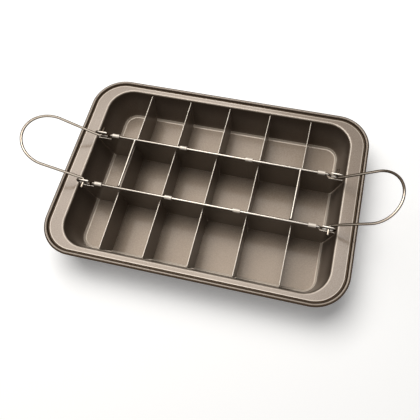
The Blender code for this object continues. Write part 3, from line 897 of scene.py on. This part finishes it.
class BAKEWARE_OT_tray(bpy.types.Operator):
    """Makes the loading tray on the pan's floor"""

    bl_idname = "bakeware.tray"
    bl_label = "Loading tray"

    def execute(self, context):
        scene = context.scene
        finish = scene.pan_finish
        table = tray_table(scene.pan_sizes, scene.tray_sizes)
        points = sheet_shell(table, scene.tray_sizes.sheet)
        # Painted highlight along the tray's lip
        masks = ring_masks({"painted_highlight": lip_highlight_rings(table, scene.tray_sizes)}, points)
        thing = make_mesh("tray_sheet", points, masks=masks)
        coat = material_named("satin_tray_coating", coating_material, finish.tray_coating, finish,
                              glaze=finish.tray_glaze)
        dress(thing, "loading_tray", "tray", "tray_coating", coat)
        return {"FINISHED"}


class BAKEWARE_OT_cross_dividers(bpy.types.Operator):
    """Makes the plates across the pan"""

    bl_idname = "bakeware.cross_dividers"
    bl_label = "Cross dividers"

    def execute(self, context):
        scene = context.scene
        plates, finish = scene.divider_sizes, scene.pan_finish
        outline = cross_outline(scene.pan_sizes, plates)
        for number in CROSS_DIVIDERS:
            low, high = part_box(f"cross_divider_{number}")
            place = np.full(len(outline), (low.x + high.x) / 2)
            points = np.stack([place, outline[:, 0], outline[:, 1]], 1)
            thing = cut_sheet(f"cross_plate_{number}", points, [], plates)
            edge = ("rubbed_edge",)
            # Under a cross wire, the cut edge between the rails carries the wire's painted shadow
            if number in UNDER_CROSS_WIRES:
                edge = ("edge_below_cross_wire", ("Y", RAIL_PLACE, finish.painted_shade))
            coat, cut, _ = plate_materials(finish, *edge)
            dress(thing, f"cross_divider_{number}", "rack", "divider_coating", coat, cut)
        return {"FINISHED"}


class BAKEWARE_OT_long_dividers(bpy.types.Operator):
    """Makes the plates along the pan with their curled tabs"""

    bl_idname = "bakeware.long_dividers"
    bl_label = "Long dividers"

    def execute(self, context):
        scene = context.scene
        plates, wires, finish = scene.divider_sizes, scene.wire_sizes, scene.pan_finish
        # Painted shade on the long plates' cut edges below their top
        below = ("Z", plates.top - plates.shoulder_radius, finish.painted_shade)
        outline = long_outline(scene.pan_sizes, plates, wires)
        places = (-plates.outer_tab, -plates.inner_tab, plates.inner_tab, plates.outer_tab)
        for word, side in (("near", -1), ("far", 1)):
            across = np.full(len(outline), side * RAIL_PLACE)
            points = np.stack([outline[:, 0], across, outline[:, 1]], 1)
            tabs = [tab_patch(place, side, plates, wires) for place in places]
            thing = cut_sheet(f"long_plate_{word}", points, tabs, plates)
            dress(thing, f"long_divider_{word}", "rack", "divider_coating",
                  *plate_materials(finish, "long_plate_edge", below))
        return {"FINISHED"}


class BAKEWARE_OT_rails(bpy.types.Operator):
    """Makes the two wire rails with their eyes"""

    bl_idname = "bakeware.rails"
    bl_label = "Wire rails"

    def execute(self, context):
        scene = context.scene
        for word, side in (("near", -1), ("far", 1)):
            thing = make_mesh(f"wire_rail_{word}", rail_points(side, scene.wire_sizes))
            dress(thing, f"rail_{word}", "rack", "rail_steel", rail_wire(scene.pan_finish))
        return {"FINISHED"}


class BAKEWARE_OT_cross_wires(bpy.types.Operator):
    """Makes the two wires welded between the rails"""

    bl_idname = "bakeware.cross_wires"
    bl_label = "Cross wires"

    def execute(self, context):
        scene = context.scene
        for word in ("left", "right"):
            low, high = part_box(f"cross_wire_{word}")
            thing = make_mesh(f"tie_wire_{word}", tie_points((low.x + high.x) / 2, scene.wire_sizes))
            dress(thing, f"cross_wire_{word}", "rack", "rail_steel", rail_wire(scene.pan_finish))
        return {"FINISHED"}


class BAKEWARE_OT_handles(bpy.types.Operator):
    """Makes the two wire handles"""

    bl_idname = "bakeware.handles"
    bl_label = "Handles"

    def execute(self, context):
        scene = context.scene
        wires = scene.wire_sizes
        for word, side, tilt in (("left", -1, wires.left_tilt), ("right", 1, wires.right_tilt)):
            thing = make_mesh(f"wire_handle_{word}", handle_points(side, tilt, wires))
            dress(thing, f"handle_{word}", f"{word}_handle", "handle_steel", handle_wire(scene.pan_finish))
        return {"FINISHED"}


# Stage

# The floor's finish and glow, the lamp, and the camera as fitted to the corners of the object
FLOOR_ROUGHNESS = 0.9
FLOOR_SPECULAR = 0.1
FLOOR_GAP = 0.2 * MM
GLOW_SPAN = (0.6, 2.0)
GLOW = (0.2, 1.0)
KEY_PLACE = (-0.45, 0.43, 1.6)
KEY_TARGET = (0, 0, 0.02)
KEY_SIDE = 1.45
KEY_TINT = (1, 0.985, 0.96)
SENSOR_WIDTH = 36
CAMERA_NEAR = 0.01
CAMERA_PLACE = (0.11588, -0.23993, 0.57419)
CAMERA_TURN = [math.radians(angle) for angle in (22.6644, 2.3795, 12.7195)]


def seen_share(tree):
    """One for camera, glossy and transmission rays, and nothing for all others."""
    light = add_node(tree, "ShaderNodeLightPath").outputs
    seen = calculated(tree, "ADD", light["Is Camera Ray"], light["Is Glossy Ray"], clamped=True)
    return calculated(tree, "ADD", seen, light["Is Transmission Ray"], clamped=True)


def floor_material(settings):
    """Pale floor: diffuse for the shadow, with a glow that only camera, glossy and clear rays see. The glow
    is slight round the object and grows away from it, so the floor stays white far off."""
    material, tree, shader = new_tree("floor")
    place = add_node(tree, "ShaderNodeTexCoord").outputs["Object"]
    far = add_node(tree, "ShaderNodeVectorMath", {0: place}, operation="LENGTH").outputs["Value"]
    glow = mapped(tree, far, GLOW_SPAN, GLOW, smooth=True)
    feed(tree, shader, {
        "Base Color": (*settings.floor_colour, 1),
        "Roughness": FLOOR_ROUGHNESS,
        "Specular IOR Level": FLOOR_SPECULAR,
        "Emission Color": WHITE,
        "Emission Strength": calculated(tree, "MULTIPLY", seen_share(tree), glow),
    })
    return material


def make_world(settings):
    """White where it is seen directly or in a reflection, and soft light for everything else."""
    world = bpy.data.worlds.new("studio")
    world.use_nodes = True
    tree = world.node_tree
    strength = mapped(tree, seen_share(tree), (0, 1), (settings.world_strength, 1))
    feed(tree, tree.nodes["Background"], {"Color": WHITE, "Strength": strength})
    bpy.context.scene.world = world


def soft_box(name, place, target, side, power, tint):
    """A square lamp at a place, turned to face a target."""
    lamp = bpy.data.lights.new(name, "AREA")
    lamp.shape = "SQUARE"
    lamp.size = side
    lamp.energy = power
    lamp.color = tint
    thing = bpy.data.objects.new(name, lamp)
    thing.location = place
    thing.rotation_euler = (Vector(target) - Vector(place)).to_track_quat("-Z", "Y").to_euler()
    bpy.context.scene.collection.objects.link(thing)


class BAKEWARE_OT_stage(bpy.types.Operator):
    """Makes the floor, the light and the camera"""

    bl_idname = "bakeware.stage"
    bl_label = "Stage"

    def execute(self, context):
        scene = context.scene
        settings = scene.stage_settings
        half = settings.floor_size / 2
        below = PAN_FOOT - FLOOR_GAP
        square = ((-half, -half), (half, -half), (half, half), (-half, half))
        corners = np.array([[x, y, below] for x, y in square])
        floor = make_mesh("floor", corners, np.array([[0, 1, 2, 3]]), smooth=False)
        floor.data.materials.append(floor_material(settings))
        make_world(settings)
        soft_box("key", KEY_PLACE, KEY_TARGET, KEY_SIDE, settings.key_power, KEY_TINT)
        camera = bpy.data.cameras.new("camera")
        camera.lens = settings.lens
        camera.sensor_width = SENSOR_WIDTH
        camera.shift_x = settings.shift
        camera.clip_start = CAMERA_NEAR
        thing = bpy.data.objects.new("camera", camera)
        thing.location = CAMERA_PLACE
        thing.rotation_euler = CAMERA_TURN
        scene.collection.objects.link(thing)
        scene.camera = thing
        scene.view_settings.view_transform = "Standard"
        return {"FINISHED"}


STEPS = (BAKEWARE_OT_pan, BAKEWARE_OT_tray, BAKEWARE_OT_cross_dividers, BAKEWARE_OT_long_dividers,
         BAKEWARE_OT_rails, BAKEWARE_OT_cross_wires, BAKEWARE_OT_handles, BAKEWARE_OT_stage)


class BAKEWARE_PT_parts(bpy.types.Panel):
    """Lists the pieces, their sizes and the finishes"""

    bl_idname = "BAKEWARE_PT_parts"
    bl_label = "Brownie Pan"
    bl_space_type = "VIEW_3D"
    bl_region_type = "UI"
    bl_category = "Bakeware"

    def draw(self, context):
        layout = self.layout
        for step in STEPS:
            layout.operator(step.bl_idname)
        for name, group in GROUPS.items():
            box = layout.box()
            box.label(text=group.__doc__)
            holder = getattr(context.scene, name)
            for field in group.__annotations__:
                box.prop(holder, field)


GROUPS = {
    "pan_sizes": PanSizes,
    "tray_sizes": TraySizes,
    "divider_sizes": DividerSizes,
    "wire_sizes": WireSizes,
    "pan_finish": Finish,
    "stage_settings": StageSettings,
}


def register():
    """Registers every class and hangs its settings on the scene."""
    for kind in (*GROUPS.values(), *STEPS, BAKEWARE_PT_parts):
        bpy.utils.register_class(kind)
    for name, group in GROUPS.items():
        setattr(bpy.types.Scene, name, bpy.props.PointerProperty(type=group))


def unregister():
    """Takes the settings off the scene and the classes out again."""
    for name in GROUPS:
        delattr(bpy.types.Scene, name)
    for kind in (BAKEWARE_PT_parts, *STEPS[::-1], *list(GROUPS.values())[::-1]):
        bpy.utils.unregister_class(kind)


def main():
    """Registers the add-on and makes every piece and the stage."""
    register()
    bpy.ops.bakeware.pan()
    bpy.ops.bakeware.tray()
    bpy.ops.bakeware.cross_dividers()
    bpy.ops.bakeware.long_dividers()
    bpy.ops.bakeware.rails()
    bpy.ops.bakeware.cross_wires()
    bpy.ops.bakeware.handles()
    bpy.ops.bakeware.stage()


if __name__ == "__main__":
    main()
